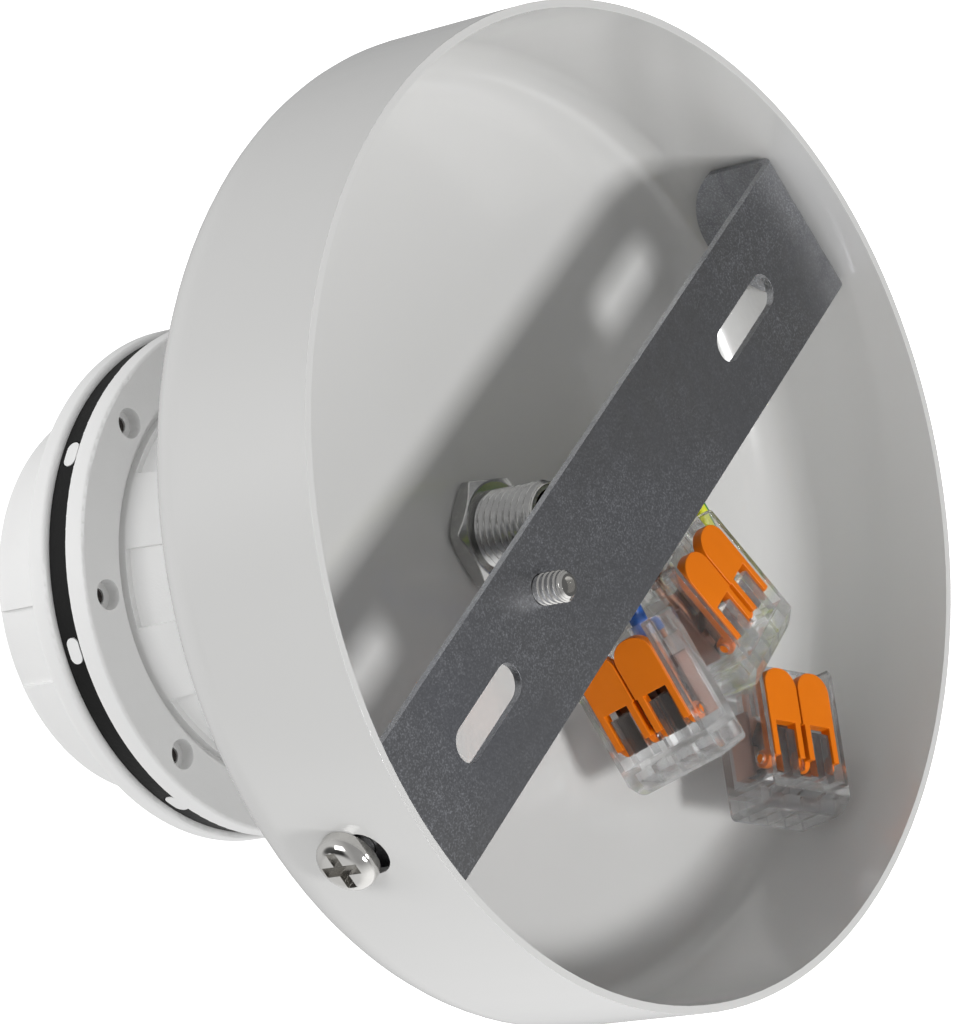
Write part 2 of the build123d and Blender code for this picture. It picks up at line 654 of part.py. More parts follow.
def connector_springs():
    """Two clamp springs: a post on the bar, a top leg and a leg that bears on the wire."""
    post = BAR_L0 + BAR_L - BAR_CLEARANCE
    bite = PORT_H + COPPER_R + COPPER_GAP
    toe = SPRING_NOSE_L + 2.2
    under = SPRING_TOP - SPRING_T
    outline = Polyline(
        (post - SPRING_T, BAR_TOP),
        (post, BAR_TOP),
        (post, SPRING_TOP),
        (SPRING_NOSE_L, SPRING_TOP),
        (toe, bite),
        (toe + SPRING_T, bite + 0.6 * SPRING_T),
        (SPRING_NOSE_L + 3 * SPRING_T, under),
        (post - SPRING_T, under),
        close=True,
    )
    strip = extrude(Plane.XZ * make_face(outline), SPRING_W / 2, both=True)
    return [Pos(0, side * PORT_W, 0) * strip for side in (-1, 1)]


def place_plane(index):
    origin, length_dir, top_dir = CONNECTOR_PLACES[index]
    return Plane(Vector(origin) + SPLICE_SHIFT * Vector(SPLICE_OUT), x_dir=length_dir, z_dir=top_dir)


# Leads, in the part's frame


def axis_point(x, y, depth):
    return WALL_PLANE.from_local_coords(Vector(x, y, depth))


def port_point(index, side, along):
    return place_plane(index).from_local_coords(Vector(along, side * PORT_W, PORT_H))


def bend_radii(points):
    """As large an arc at each corner as its two runs leave room for."""
    radii = []
    for before, here, after in zip(points, points[1:], points[2:]):
        half_turn = math.radians((here - before).get_angle(after - here)) / 2
        run = min((here - before).length, (after - here).length)
        radii.append(0.45 * run / math.tan(half_turn))
    return radii


def round_path(points, radius):
    """Sweep a circle along straight runs joined by arcs."""
    path = FilletPolyline(*points, radius=bend_radii(points)) if len(points) > 2 else Line(*points)
    start = Plane(path @ 0, z_dir=path % 0)
    return sweep(start * Circle(radius), path=path), path.length


WIRE_Z = FOOT_Z - COPPER_R - COPPER_GAP / 2
WIRE_V = TERMINAL_R + COPPER_R + COPPER_GAP
STRIP_X = TERMINAL_OFFSET - TERMINAL_HEAD_R - LEAD_R


def eased(bends):
    """Bends that move with the splices, the more so the nearer they are to them."""
    moved = []
    for i, bend in enumerate(bends):
        share = SPLICE_SHIFT * (i + 1) / (len(bends) + 1)
        moved.append(axis_point(*bend) + share * Vector(SPLICE_OUT))
    return moved


def supply_lead(index, port, side, bends):
    """One lead from a terminal of the socket through the nipple to its connector."""
    lead_z = WIRE_Z - LEAD_R + COPPER_R
    return [
        axis_point(side * STRIP_X, WIRE_V, lead_z),
        axis_point(side * (STRIP_X - STRIP_RUN), WIRE_V, lead_z - STRIP_RISE),
        axis_point(side * LEAD_PITCH, 0, lead_z - NECK_RUN),
        axis_point(side * LEAD_PITCH, 0, NIPPLE_Z0 - LEAD_TURN),
        *eased(bends),
        port_point(index, port, -PORT_RUN),
        port_point(index, port, LEAD_IN),
    ]


def earth_lead():
    x, y, z = barrel_centre()
    end = x - BARREL_L
    bends = [
        (-3.0, 3.6, 9.0),
        (-12.0, 0.5, 10.4),
        (-19.0, -7.5, 12.0),
        (-22.2, -17.0, 14.2),
        (-23.4, -26.5, 16.6),
    ]
    return [
        axis_point(end - COPPER_GAP, y, z),
        axis_point(end - EARTH_RUN, y, z),
        *eased(bends),
        port_point(2, -1, -EARTH_PORT_RUN),
        port_point(2, -1, LEAD_IN),
    ]


BROWN_BENDS = [(-5.5, -5.0, 8.6), (-8.4, -9.2, 13.0)]
BLUE_BENDS = [(1.4, -6.0, 8.2), (-1.6, -10.4, 12.0)]


def bare_conductors():
    """The stripped ends in the connectors, under the terminals and in the ring terminal."""
    ends = []
    for index, port in ((0, 1), (1, -1), (2, -1)):
        ends.append((port_point(index, port, LEAD_IN), port_point(index, port, LEAD_IN + COPPER_IN)))
    for side in (-1, 1):
        reach = TERMINAL_OFFSET + TERMINAL_R
        ends.append((axis_point(side * STRIP_X, WIRE_V, WIRE_Z), axis_point(side * reach, WIRE_V, WIRE_Z)))
    x, y, z = barrel_centre()
    ends.append((axis_point(x, y, z), axis_point(x - BARREL_L, y, z)))
    return [round_path(list(pair), COPPER_R)[0] for pair in ends]


# Build and export every node


def group(shapes):
    return Compound(children=[shape.solid() for shape in shapes])


def main():
    nodes = {
        "canopy_cup": on_wall(canopy_cup()),
        "mounting_bracket": on_wall(mounting_bracket()),
        "side_screws": group([on_wall(s) for s in side_screws()]),
        "earth_screw": on_wall(earth_screw()),
        "earth_washer": on_wall(earth_washer()),
        "earth_terminal": on_wall(earth_terminal()),
        "threaded_nipple": on_wall(threaded_nipple()),
        "cup_nut": on_wall(hex_nut(CUP_FLOOR_Z - NUT_T)),
        "neck_nut": on_wall(hex_nut(NECK_NUT_Z)),
        "rear_housing": on_wall(rear_housing()),
        "gasket": on_wall(gasket()),
        "half_screws": group([on_wall(s) for s in half_screws()]),
        "holder_body": on_wall(holder_body()),
        "socket_insert": on_wall(socket_insert()),
        "screw_shell": on_wall(screw_shell()),
        "centre_contact": on_wall(centre_contact()),
        "terminal_screws": group([on_wall(s) for s in terminal_screws()]),
        "bare_conductors": group(bare_conductors()),
    }
    for index in range(len(CONNECTOR_PLACES)):
        place = place_plane(index).location
        name = f"connector_{index + 1}"
        nodes[f"{name}_housing"] = place * connector_housing()
        nodes[f"{name}_lever_left"] = place * connector_lever(-1)
        nodes[f"{name}_lever_right"] = place * connector_lever(1)
        nodes[f"{name}_bar"] = place * connector_bar()
        nodes[f"{name}_springs"] = group([place * s for s in connector_springs()])
    routes = {
        "lead_brown": supply_lead(1, -1, -1, BROWN_BENDS),
        "lead_blue": supply_lead(0, 1, 1, BLUE_BENDS),
        "lead_earth": earth_lead(),
    }
    for name, points in routes.items():
        nodes[name], length = round_path(points, LEAD_R)
        print(name, "length", round(length, 1), "radii", [round(r, 1) for r in bend_radii(points)])
    for name, shape in nodes.items():
        export_step(shape, f"parts/{name}.step")


os.makedirs("parts", exist_ok=True)
main()
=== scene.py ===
"""Batten lamp holder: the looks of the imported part, in the part's own frame and in metres."""

import math

import bmesh
import bpy
import numpy as np
from mathutils import Matrix, Vector


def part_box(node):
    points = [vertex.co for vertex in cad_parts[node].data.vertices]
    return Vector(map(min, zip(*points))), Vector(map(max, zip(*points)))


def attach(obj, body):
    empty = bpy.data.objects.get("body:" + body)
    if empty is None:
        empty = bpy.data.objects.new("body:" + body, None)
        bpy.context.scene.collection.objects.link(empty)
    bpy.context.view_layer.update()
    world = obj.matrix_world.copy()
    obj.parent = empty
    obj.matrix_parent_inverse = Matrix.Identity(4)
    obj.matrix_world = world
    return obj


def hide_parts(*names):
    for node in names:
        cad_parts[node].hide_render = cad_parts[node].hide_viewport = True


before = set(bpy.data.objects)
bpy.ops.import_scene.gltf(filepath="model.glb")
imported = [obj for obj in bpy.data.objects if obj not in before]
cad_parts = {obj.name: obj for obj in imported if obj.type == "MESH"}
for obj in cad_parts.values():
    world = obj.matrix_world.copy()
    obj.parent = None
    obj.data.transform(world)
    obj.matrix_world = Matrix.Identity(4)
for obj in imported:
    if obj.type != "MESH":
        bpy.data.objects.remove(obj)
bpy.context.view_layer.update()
stage_scene = bpy.context.scene
stage_scene.view_settings.view_transform = "Standard"

# Camera
# A long lens looks into the open back of the cup from above and to the side,
# with the lamp holder behind on the left, as in the photograph.
lens = bpy.data.cameras.new("photo_lens")
lens.sensor_width = 36.0
lens.lens = 175.58
lens.shift_x = 0.0034
lens.shift_y = -0.0037
lens.clip_start = 0.01
eye = bpy.data.objects.new("photo_camera", lens)
eye_right = Vector((-0.4270, 0.7567, -0.4950))
eye_up = Vector((-0.6277, 0.1460, 0.7646))
eye_back = Vector((0.6509, 0.6371, 0.4127))
turn = Matrix((eye_right, eye_up, eye_back)).transposed().to_4x4()
eye.matrix_world = Matrix.Translation((0.3904, 0.3569, 0.2514)) @ turn
stage_scene.collection.objects.link(eye)
stage_scene.camera = eye


# Studio light
# A soft key shines into the cup and throws the bracket's shadow on its floor, one light stands above
# and to the side, and one behind the lamp holder. The surround is pale, with two dim patches for
# the metal to mirror: one on the wall's side and one beside the screw.
def soft_light(name, toward, distance, size, power, mirrored=True):
    """A square light at toward times distance from the part's middle, facing back at it.

    mirrored says whether shiny pieces show it.
    """
    lamp = bpy.data.lights.new(name, "AREA")
    lamp.size = size
    lamp.energy = power
    holder = bpy.data.objects.new(name, lamp)
    direction = Vector(toward).normalized()
    part_middle = Vector((0, -0.02, 0))
    holder.location = part_middle + direction * distance
    holder.rotation_euler = direction.to_track_quat("Z", "Y").to_euler()
    holder.visible_camera = False
    holder.visible_glossy = mirrored
    stage_scene.collection.objects.link(holder)


soft_light("key_light", (0.33, 0.93, -0.153), distance=1.2, size=0.24, power=9.3)
soft_light("top_light", (0.75, -0.10, 0.66), distance=1.2, size=0.6, power=4.3)
soft_light("back_light", (0.36, -0.72, 0.59), distance=1.1, size=0.5, power=2.6, mirrored=False)


class Shade:
    """A socket of one material's nodes. Arithmetic on shades adds Math nodes."""

    def __init__(self, tree, socket):
        self.tree = tree
        self.socket = socket

    def node(self, kind, settings=None, inputs=None, output=0):
        """One node of any kind: its settings first, then values or links for its sockets."""
        made = self.tree.nodes.new(kind)
        for key, value in (settings or {}).items():
            setattr(made, key, value)
        for key, value in (inputs or {}).items():
            if isinstance(value, Shade):
                self.tree.links.new(value.socket, made.inputs[key])
            else:
                made.inputs[key].default_value = value
        return Shade(self.tree, made.outputs[output])

    def math(self, operation, first, second):
        """A Math node on two shades or numbers."""
        return self.node("ShaderNodeMath", {"operation": operation}, {0: first, 1: second})

    def __add__(self, other):
        return self.math("ADD", self, other)

    def __sub__(self, other):
        return self.math("SUBTRACT", self, other)

    def __rsub__(self, other):
        return self.math("SUBTRACT", other, self)

    def __mul__(self, other):
        return self.math("MULTIPLY", self, other)

    __radd__ = __add__
    __rmul__ = __mul__


surround = bpy.data.worlds.new("pale_surround")
surround.use_nodes = True
backdrop = surround.node_tree.nodes["Background"]
sky_coordinates = surround.node_tree.nodes.new("ShaderNodeTexCoord")
toward = Shade(surround.node_tree, sky_coordinates.outputs["Generated"])


def lobe(direction, near, far):
    """1 round a direction, falling smoothly to 0 away from it.

    It falls as the cosine of the angle from the direction drops from near to far.
    """
    dot = {"operation": "DOT_PRODUCT"}
    along = toward.node("ShaderNodeVectorMath", dot, {0: toward, 1: direction}, 1)
    sockets = {"Value": along, "From Min": far, "From Max": near}
    return toward.node("ShaderNodeMapRange", {"interpolation_type": "SMOOTHSTEP"}, sockets)


behind = lobe((0.43, -0.76, 0.49), 1.0, 0.0)
below = lobe((0.1, 0.0, -1.0), 1.0, 0.3)
wall_side = lobe((-0.65, 0.64, -0.41), 0.97, 0.6)
beside_screw = lobe((0.82, -0.51, 0.26), 0.96, 0.82)
glow = 0.40 + 0.3 * behind + 0.9 * below - 0.28 * wall_side - 0.6 * beside_screw
seen_straight = toward.node("ShaderNodeLightPath")
glow = glow + seen_straight * (1.0 - glow)
surround.node_tree.links.new(glow.socket, backdrop.inputs["Strength"])
backdrop.inputs["Color"].default_value = (1.0, 1.0, 1.0, 1.0)
stage_scene.world = surround


# Floor
# A plain white studio sweep, far enough below the part to take no shadow. It glows for the
# eye alone, so that the surround sets the light on the part.
def finish(name, **sockets):
    """A material with plain socket values, and a shade of its object coordinates."""
    material = bpy.data.materials.new(name)
    material.use_nodes = True
    tree = material.node_tree
    surface = tree.nodes["Principled BSDF"]
    for key, value in sockets.items():
        surface.inputs[key.replace("_", " ").title().replace("Ior", "IOR")].default_value = value
    place = Shade(tree, tree.nodes.new("ShaderNodeTexCoord").outputs["Object"])
    return material, place


def feed(material, socket, shade):
    """Links a shade to a socket of the material's surface."""
    tree = material.node_tree
    tree.links.new(shade.socket, tree.nodes["Principled BSDF"].inputs[socket])


def noise(place, scale, detail=3.0):
    """Cloudy noise from 0 to 1, with scale in cycles per metre."""
    return place.node("ShaderNodeTexNoise", {}, {"Vector": place, "Scale": scale, "Detail": detail})


def step(place, value, low, high):
    """0 below low, 1 above high, smooth between."""
    sockets = {"Value": value, "From Min": low, "From Max": high}
    return place.node("ShaderNodeMapRange", {"interpolation_type": "SMOOTHSTEP"}, sockets)


def mix(place, factor, first, second):
    """One colour turning into another as factor goes from 0 to 1.

    A colour is a shade or three numbers.
    """
    first, second = [tone if isinstance(tone, Shade) else (*tone, 1.0) for tone in (first, second)]
    return place.node("ShaderNodeMix", {"data_type": "RGBA"}, {0: factor, 6: first, 7: second}, 2)


def bump(place, height, distance):
    """A normal tilted by a height from 0 to 1, which stands for distance in metres."""
    return place.node("ShaderNodeBump", {}, {"Height": height, "Distance": distance})


def grid_mesh(name, points, ring=False, loop=False):
    """A mesh from a (rows, columns, 3) grid in millimetres, one quad to a cell.

    ring joins the last column to the first, and loop the last row to the first.
    """
    rows, columns = points.shape[:2]
    index = np.arange(rows * columns).reshape(rows, columns)
    if ring:
        index = np.concatenate([index, index[:, :1]], axis=1)
    if loop:
        index = np.concatenate([index, index[:1]], axis=0)
    quads = np.stack([index[:-1, :-1], index[:-1, 1:], index[1:, 1:], index[1:, :-1]], axis=-1)
    mesh = bpy.data.meshes.new(name)
    mesh.from_pydata((points.reshape(-1, 3) / 1000).tolist(), [], quads.reshape(-1, 4).tolist())
    return mesh


def show(name, mesh, material, angle=180):
    """Puts a mesh in the scene with a material, smooth across edges flatter than angle."""
    mesh.materials.clear()
    mesh.materials.append(material)
    mesh.shade_smooth()
    mesh.set_sharp_from_angle(angle=math.radians(angle))
    piece = bpy.data.objects.new(name, mesh)
    stage_scene.collection.objects.link(piece)
    return piece


floor_white, floor_place = finish("floor_white", roughness=0.8, emission_strength=1.0)
floor_mottle = noise(floor_place, 3.0)
feed(floor_white, "Base Color", mix(floor_place, floor_mottle, (0.9, 0.9, 0.9), (0.93, 0.93, 0.93)))
feed(floor_white, "Emission Color", mix(floor_place, floor_mottle, (1, 1, 1), (0.98, 0.98, 0.98)))
floor_reach = 6000.0
floor_height = -300.0
floor_x, floor_y = np.meshgrid(*[np.linspace(-floor_reach, floor_reach, 5)] * 2)
floor_grid = np.stack([floor_x, floor_y, np.full_like(floor_x, floor_height)], axis=-1)
studio_floor = show("studio_floor", grid_mesh("studio_floor", floor_grid), floor_white)
studio_floor.visible_diffuse = False
studio_floor.visible_glossy = False


# Canopy cup
# A round pressed steel cup, spray painted in warm light grey gloss, with an oblong
# hole on each side for the screws that hold it to the bracket.
def dressed(node, material, body="fixture", angle=30, edge=0.0, rounded=False):
    """A CAD node's copy: triangles joined, flat faces merged, smooth below angle, edges rounded.

    edge is the width in millimetres of the rounding that each sharp edge gets. A node whose edges
    are rounded in the frame keeps its triangles, and its large faces lead the smooth shading.
    """
    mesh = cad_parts[node].data.copy()
    mesh.name = node + "_skin"
    if "custom_normal" in mesh.attributes:
        mesh.attributes.remove(mesh.attributes["custom_normal"])
    work = bmesh.new()
    work.from_mesh(mesh)
    bmesh.ops.remove_doubles(work, verts=work.verts, dist=1e-6)
    if not rounded:
        bmesh.ops.dissolve_limit(work, angle_limit=math.radians(0.4), verts=work.verts, edges=work.edges)
    work.to_mesh(mesh)
    work.free()
    piece = show(node + "_skin", mesh, material, angle)
    if edge:
        rounding = piece.modifiers.new("edge_rounding", "BEVEL")
        rounding.width = edge / 1000
        rounding.segments = 2
        rounding.limit_method = "ANGLE"
        rounding.angle_limit = math.radians(angle)
        rounding.harden_normals = True
    if rounded:
        piece.modifiers.new("even_shading", "WEIGHTED_NORMAL").keep_sharp = True
    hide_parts(node)
    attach(piece, body)
    return piece


cup_paint, cup_place = finish("cup_paint", roughness=0.25, coat_weight=0.5, coat_roughness=0.06)
cup_cloud = noise(cup_place, 30.0, 3.0)
feed(cup_paint, "Base Color", mix(cup_place, cup_cloud, (0.635, 0.634, 0.626), (0.650, 0.649, 0.641)))
feed(cup_paint, "Roughness", noise(cup_place, 200.0) * 0.06 + 0.205)
feed(cup_paint, "Normal", bump(cup_place, noise(cup_place, 60.0, 0.0), 0.00003))
dressed("canopy_cup", cup_paint, angle=35, edge=0.25)

# Mounting bracket
# A strip of dull hot-dip galvanised steel, punched with two long slots, its ends bent
# down into tabs that the side screws thread into.
galvanised, zinc_place = finish("galvanised", metallic=1.0, roughness=0.4)
zinc_patch = step(zinc_place, noise(zinc_place, 60.0, 4.0), 0.38, 0.62)
zinc_fleck = step(zinc_place, noise(zinc_place, 4300.0, 3.0), 0.45, 0.75) * (zinc_patch * 0.55 + 0.2)
zinc_blot = step(zinc_place, noise(zinc_place, 420.0, 5.0), 0.42, 0.7)
zinc_warm = mix(zinc_place, noise(zinc_place, 38.0, 3.0), (0.33, 0.325, 0.31), (0.335, 0.35, 0.40))
zinc_tone = mix(zinc_place, zinc_blot * 0.6, zinc_warm, (0.25, 0.255, 0.275))
feed(galvanised, "Base Color", mix(zinc_place, zinc_fleck, zinc_tone, (0.70, 0.72, 0.77)))
feed(galvanised, "Roughness", noise(zinc_place, 2400.0, 3.0) * 0.14 + zinc_blot * 0.06 + 0.28)
feed(galvanised, "Normal", bump(zinc_place, noise(zinc_place, 4200.0, 3.0), 0.000014))
dressed("mounting_bracket", galvanised, edge=0.14)


# Side screws and earth screw
# Bright nickel plated steel screws with a cross recess. The two side screws go in through
# the cup's wall, and the earth screw stands up through the bracket beside the nut.
def clouded_metal(name, scale, dark, pale, polish, spread, metallic=1.0):
    """Metal that one cloud mottles from dark to pale.

    Its roughness is polish plus spread times the cloud.
    """
    material, place = finish(name, metallic=metallic)
    cloud = noise(place, scale, 4.0)
    feed(material, "Base Color", mix(place, cloud, dark, pale))
    feed(material, "Roughness", cloud * spread + polish)
    return material


nickel = clouded_metal("nickel_plate", 500.0, (0.56, 0.55, 0.53), (0.72, 0.71, 0.69), 0.06, 0.1)
dressed("side_screws", nickel, edge=0.12)
dressed("earth_screw", nickel, edge=0.1)


def thread(name, centre, crest, root, pitch, start, end, material):
    """A helical thread round an axis that runs along the part's depth.

    The radius is root plus (crest - root) times a rounded triangle wave of depth / pitch minus
    turn; it fades to the root at both ends, where the skin closes on a narrow inner wall.
    """
    steps_per_turn = 14
    around = np.linspace(0, 2 * math.pi, 64, endpoint=False)
    depth = np.linspace(start, end, int((end - start) / pitch * steps_per_turn))
    phase = (depth[:, None] / pitch - around[None] / (2 * math.pi)) % 1
    wave = np.clip(1.15 - 2.3 * np.abs(phase - 0.5), 0, 1)
    fade = np.clip(np.minimum(depth - start, end - depth) / (0.5 * pitch), 0, 1)[:, None]
    outer = root + (crest - root) * wave * fade
    inner = np.full_like(outer, root - 0.12)
    radius = np.concatenate([outer, inner[::-1]])
    along = np.concatenate([depth, depth[::-1]])[:, None] * np.ones_like(radius)
    across = centre[0] + radius * np.cos(around)
    up = centre[1] + radius * np.sin(around)
    points = np.stack([across, -along, up], axis=-1)
    return show(name, grid_mesh(name, points, ring=True, loop=True), material, 50)


def box_mm(node):
    """A node's lowest and highest corners in millimetres."""
    return [1000 * np.array(corner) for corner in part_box(node)]


earth_low, earth_high = box_mm("earth_screw")
earth_middle = ((earth_low[0] + earth_high[0]) / 2, (earth_low[2] + earth_high[2]) / 2)
earth_tip = -earth_high[1]
earth_thread = thread(
    "earth_screw_thread", earth_middle, crest=1.95, root=1.62, pitch=0.8,
    start=earth_tip + 0.25, end=4.6, material=nickel,
)
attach(earth_thread, "fixture")

# Earth terminal and washer
# A tinned copper ring crimped on the earth lead, and a thin washer, both held against the
# bracket by the earth screw's head.
plated, plated_place = finish("zinc_plate", metallic=1.0, roughness=0.3)
plated_cloud = noise(plated_place, 260.0, 4.0)
plated_dark = step(plated_place, noise(plated_place, 900.0, 3.0), 0.5, 0.8)
plated_tone = mix(plated_place, plated_cloud, (0.40, 0.40, 0.39), (0.56, 0.56, 0.55))
feed(plated, "Base Color", mix(plated_place, plated_dark * 0.5, plated_tone, (0.2, 0.2, 0.2)))
feed(plated, "Roughness", plated_cloud * 0.14 + 0.28)
dressed("earth_terminal", plated, edge=0.1)
dressed("earth_washer", plated, edge=0.05)


# Threaded nipple and nuts
# A hollow steel tube with a fine thread joins the cup to the lamp holder, with a
# chamfered hex nut on each side. All are zinc plated and worn dull.
def nipple_skin(crest, root, bore, pitch, start, end):
    """Tube whose outer radius follows a helical rounded triangle wave, closed by its bore."""
    sides = 96
    steps_per_turn = 12
    around = np.linspace(0, 2 * math.pi, sides, endpoint=False)
    depth = np.linspace(start, end, int((end - start) / pitch * steps_per_turn))
    phase = (depth[:, None] / pitch - around[None] / (2 * math.pi)) % 1
    wave = np.clip(1.1 - 2.2 * np.abs(phase - 0.5), 0, 1)
    fade = np.clip(np.minimum(depth - start, end - depth) / pitch, 0, 1)[:, None]
    outer = root + (crest - root) * wave * fade
    inner = np.full((2, sides), bore)
    radius = np.concatenate([outer, inner])
    along = np.concatenate([depth, [end, start]])[:, None] * np.ones_like(radius)
    points = np.stack([radius * np.cos(around), -along, radius * np.sin(around)], axis=-1)
    return grid_mesh("threaded_nipple_skin", points, ring=True, loop=True)


def hex_nut(name, flats, bore, start, end, turn_angle):
    """A nut as a ring of profiles.

    Across its corners the radius is half the flats over cos of the angle from the flat's middle.
    The two end faces fall away by tan 30 degrees outside a circle just under the flats.
    """
    face_share = 0.96
    around = np.linspace(0, 2 * math.pi, 180, endpoint=False)
    from_flat = (around - turn_angle + math.pi / 6) % (math.pi / 3) - math.pi / 6
    side = flats / 2 / np.cos(from_flat)
    face = np.full_like(side, flats / 2 * face_share)
    fall = (side - face) * math.tan(math.radians(30))
    hole = np.full_like(side, bore)
    radius = np.stack([hole, face, side, side, face, hole])
    top = np.full_like(fall, end - start)
    along = np.stack([0 * fall, 0 * fall, fall, top - fall, top, top])
    points = np.stack([radius * np.cos(around), -(start + along), radius * np.sin(around)], axis=-1)
    return grid_mesh(name, points, ring=True, loop=True)


worn_zinc, worn_place = finish("worn_zinc", metallic=1.0, roughness=0.35)
worn_cloud = noise(worn_place, 350.0, 4.0)
worn_spot = step(worn_place, noise(worn_place, 1300.0, 3.0), 0.45, 0.75)
worn_tone = mix(worn_place, worn_cloud, (0.46, 0.46, 0.455), (0.60, 0.60, 0.59))
feed(worn_zinc, "Base Color", mix(worn_place, worn_spot * 0.35, worn_tone, (0.74, 0.74, 0.73)))
feed(worn_zinc, "Roughness", worn_cloud * 0.11 + 0.16)
nipple_low, nipple_high = box_mm("threaded_nipple")
nipple_mesh = nipple_skin(
    crest=5.0, root=4.45, bore=3.9, pitch=1.0, start=-nipple_high[1], end=-nipple_low[1]
)
nipple = show("threaded_nipple_skin", nipple_mesh, worn_zinc, 40)
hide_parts("threaded_nipple")
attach(nipple, "fixture")
nut_turn = math.radians(5.3)
for nut_node in ("cup_nut", "neck_nut"):
    nut_low, nut_high = box_mm(nut_node)
    nut_mesh = hex_nut(
        nut_node + "_skin", flats=12.6, bore=4.75,
        start=-nut_high[1], end=-nut_low[1], turn_angle=nut_turn,
    )
    nut = show(nut_node + "_skin", nut_mesh, worn_zinc, 20)
    nut_edge = nut.modifiers.new("edge_rounding", "BEVEL")
    nut_edge.width = 0.00012
    nut_edge.segments = 2
    nut_edge.angle_limit = math.radians(20)
    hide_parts(nut_node)
    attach(nut, "fixture")

# Lamp holder halves
# Two white thermoplastic mouldings with a satin skin: the flanged neck that the nipple
# holds against the cup, and the front body with the lamp's mouth.
holder_white, white_place = finish("holder_white", roughness=0.35)
white_cloud = noise(white_place, 120.0, 4.0)
white_tone = mix(white_place, white_cloud, (0.88, 0.88, 0.875), (0.91, 0.91, 0.905))
feed(holder_white, "Base Color", white_tone)
feed(holder_white, "Roughness", noise(white_place, 900.0, 3.0) * 0.2 + 0.28)
feed(holder_white, "Normal", bump(white_place, noise(white_place, 3200.0, 2.0), 0.00002))
dressed("rear_housing", holder_white, angle=50, rounded=True)
dressed("holder_body", holder_white, angle=50, rounded=True)

# Gasket
# A flat ring of black rubber squeezed between the two halves.
gasket_rubber, rubber_place = finish("gasket_rubber", roughness=0.6, specular_ior_level=0.25)
rubber_cloud = noise(rubber_place, 400.0, 4.0)
rubber_tone = mix(rubber_place, rubber_cloud, (0.004, 0.004, 0.004), (0.009, 0.009, 0.009))
feed(gasket_rubber, "Base Color", rubber_tone)
feed(gasket_rubber, "Roughness", rubber_cloud * 0.25 + 0.45)
feed(gasket_rubber, "Normal", bump(rubber_place, noise(rubber_place, 2000.0), 0.00004))
dressed("gasket", gasket_rubber, edge=0.15)

# Housing screws and terminal screws
# Eight blackened steel screws pull the halves together, and two zinc plated ones clamp the
# supply leads to the socket's contacts.
blackened = clouded_metal(
    "blackened_steel", 600.0, (0.022, 0.018, 0.017), (0.05, 0.04, 0.037), 0.35, 0.25, metallic=0.6
)
dressed("half_screws", blackened, edge=0.08)
dressed("terminal_screws", plated, edge=0.08)

# Socket
# A glazed ceramic cup carries the brass screw shell and the sprung centre contact.
glaze, glaze_place = finish("socket_glaze", roughness=0.15, coat_weight=0.4, coat_roughness=0.05)
glaze_cloud = noise(glaze_place, 90.0, 4.0)
feed(glaze, "Base Color", mix(glaze_place, glaze_cloud, (0.80, 0.785, 0.74), (0.86, 0.85, 0.81)))
feed(glaze, "Roughness", noise(glaze_place, 500.0) * 0.15 + 0.1)
dressed("socket_insert", glaze, edge=0.25)
brass = clouded_metal("brass", 240.0, (0.62, 0.43, 0.17), (0.80, 0.62, 0.30), 0.16, 0.11)
dressed("screw_shell", brass, edge=0.08)
dressed("centre_contact", brass, edge=0.1)


def rolled_thread(mean, swing, pitch, start, end):
    """The shell's rolled thread, a wall of even thickness.

    Its radius is mean plus swing times the cosine of depth / pitch minus turn.
    """
    wall = 0.25
    around = np.linspace(0, 2 * math.pi, 120, endpoint=False)
    depth = np.linspace(start, end, 90)
    turns = depth[:, None] / pitch * 2 * math.pi - around[None]
    inner = mean + swing * np.cos(turns)
    radius = np.concatenate([inner, (inner + wall)[::-1]])
    along = np.concatenate([depth, depth[::-1]])[:, None] * np.ones_like(radius)
    points = np.stack([radius * np.cos(around), -along, radius * np.sin(around)], axis=-1)
    return grid_mesh("shell_thread", points[::-1], ring=True, loop=True)


shell_wave = rolled_thread(mean=12.75, swing=0.48, pitch=3.63, start=58.2, end=80.7)
shell_thread = show("shell_thread", shell_wave, brass, 60)
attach(shell_thread, "fixture")


# Splice connectors
# Three clear polycarbonate two-way connectors, each with a copper current bar, two dark clamp
# springs and two orange levers that turn on pins in the housing.
clear, clear_place = finish("clear_plastic", ior=1.49, transmission_weight=0.97, alpha=0.78)
clear_haze = noise(clear_place, 200.0, 3.0)
feed(clear, "Base Color", mix(clear_place, clear_haze, (0.93, 0.94, 0.945), (0.97, 0.975, 0.98)))
feed(clear, "Roughness", clear_haze * 0.05 + 0.005)
orange, orange_place = finish("lever_orange", roughness=0.35, specular_ior_level=0.35)
orange_cloud = noise(orange_place, 300.0, 3.0)
feed(orange, "Base Color", mix(orange_place, orange_cloud, (0.76, 0.172, 0.001), (0.83, 0.198, 0.002)))
feed(orange, "Roughness", noise(orange_place, 1500.0) * 0.16 + 0.28)
bar_metal = clouded_metal("bar_copper", 500.0, (0.34, 0.165, 0.115), (0.50, 0.27, 0.20), 0.28, 0.16)
sprung = clouded_metal("spring_steel", 500.0, (0.045, 0.034, 0.027), (0.085, 0.066, 0.052), 0.16, 0.11)
for number in (1, 2, 3):
    splice = f"connector_{number}_"
    dressed(splice + "housing", clear, edge=0.18)
    dressed(splice + "bar", bar_metal, edge=0.08)
    dressed(splice + "springs", sprung, edge=0.05)
    for side in ("lever_left", "lever_right"):
        dressed(splice + side, orange, splice + side, edge=0.35)


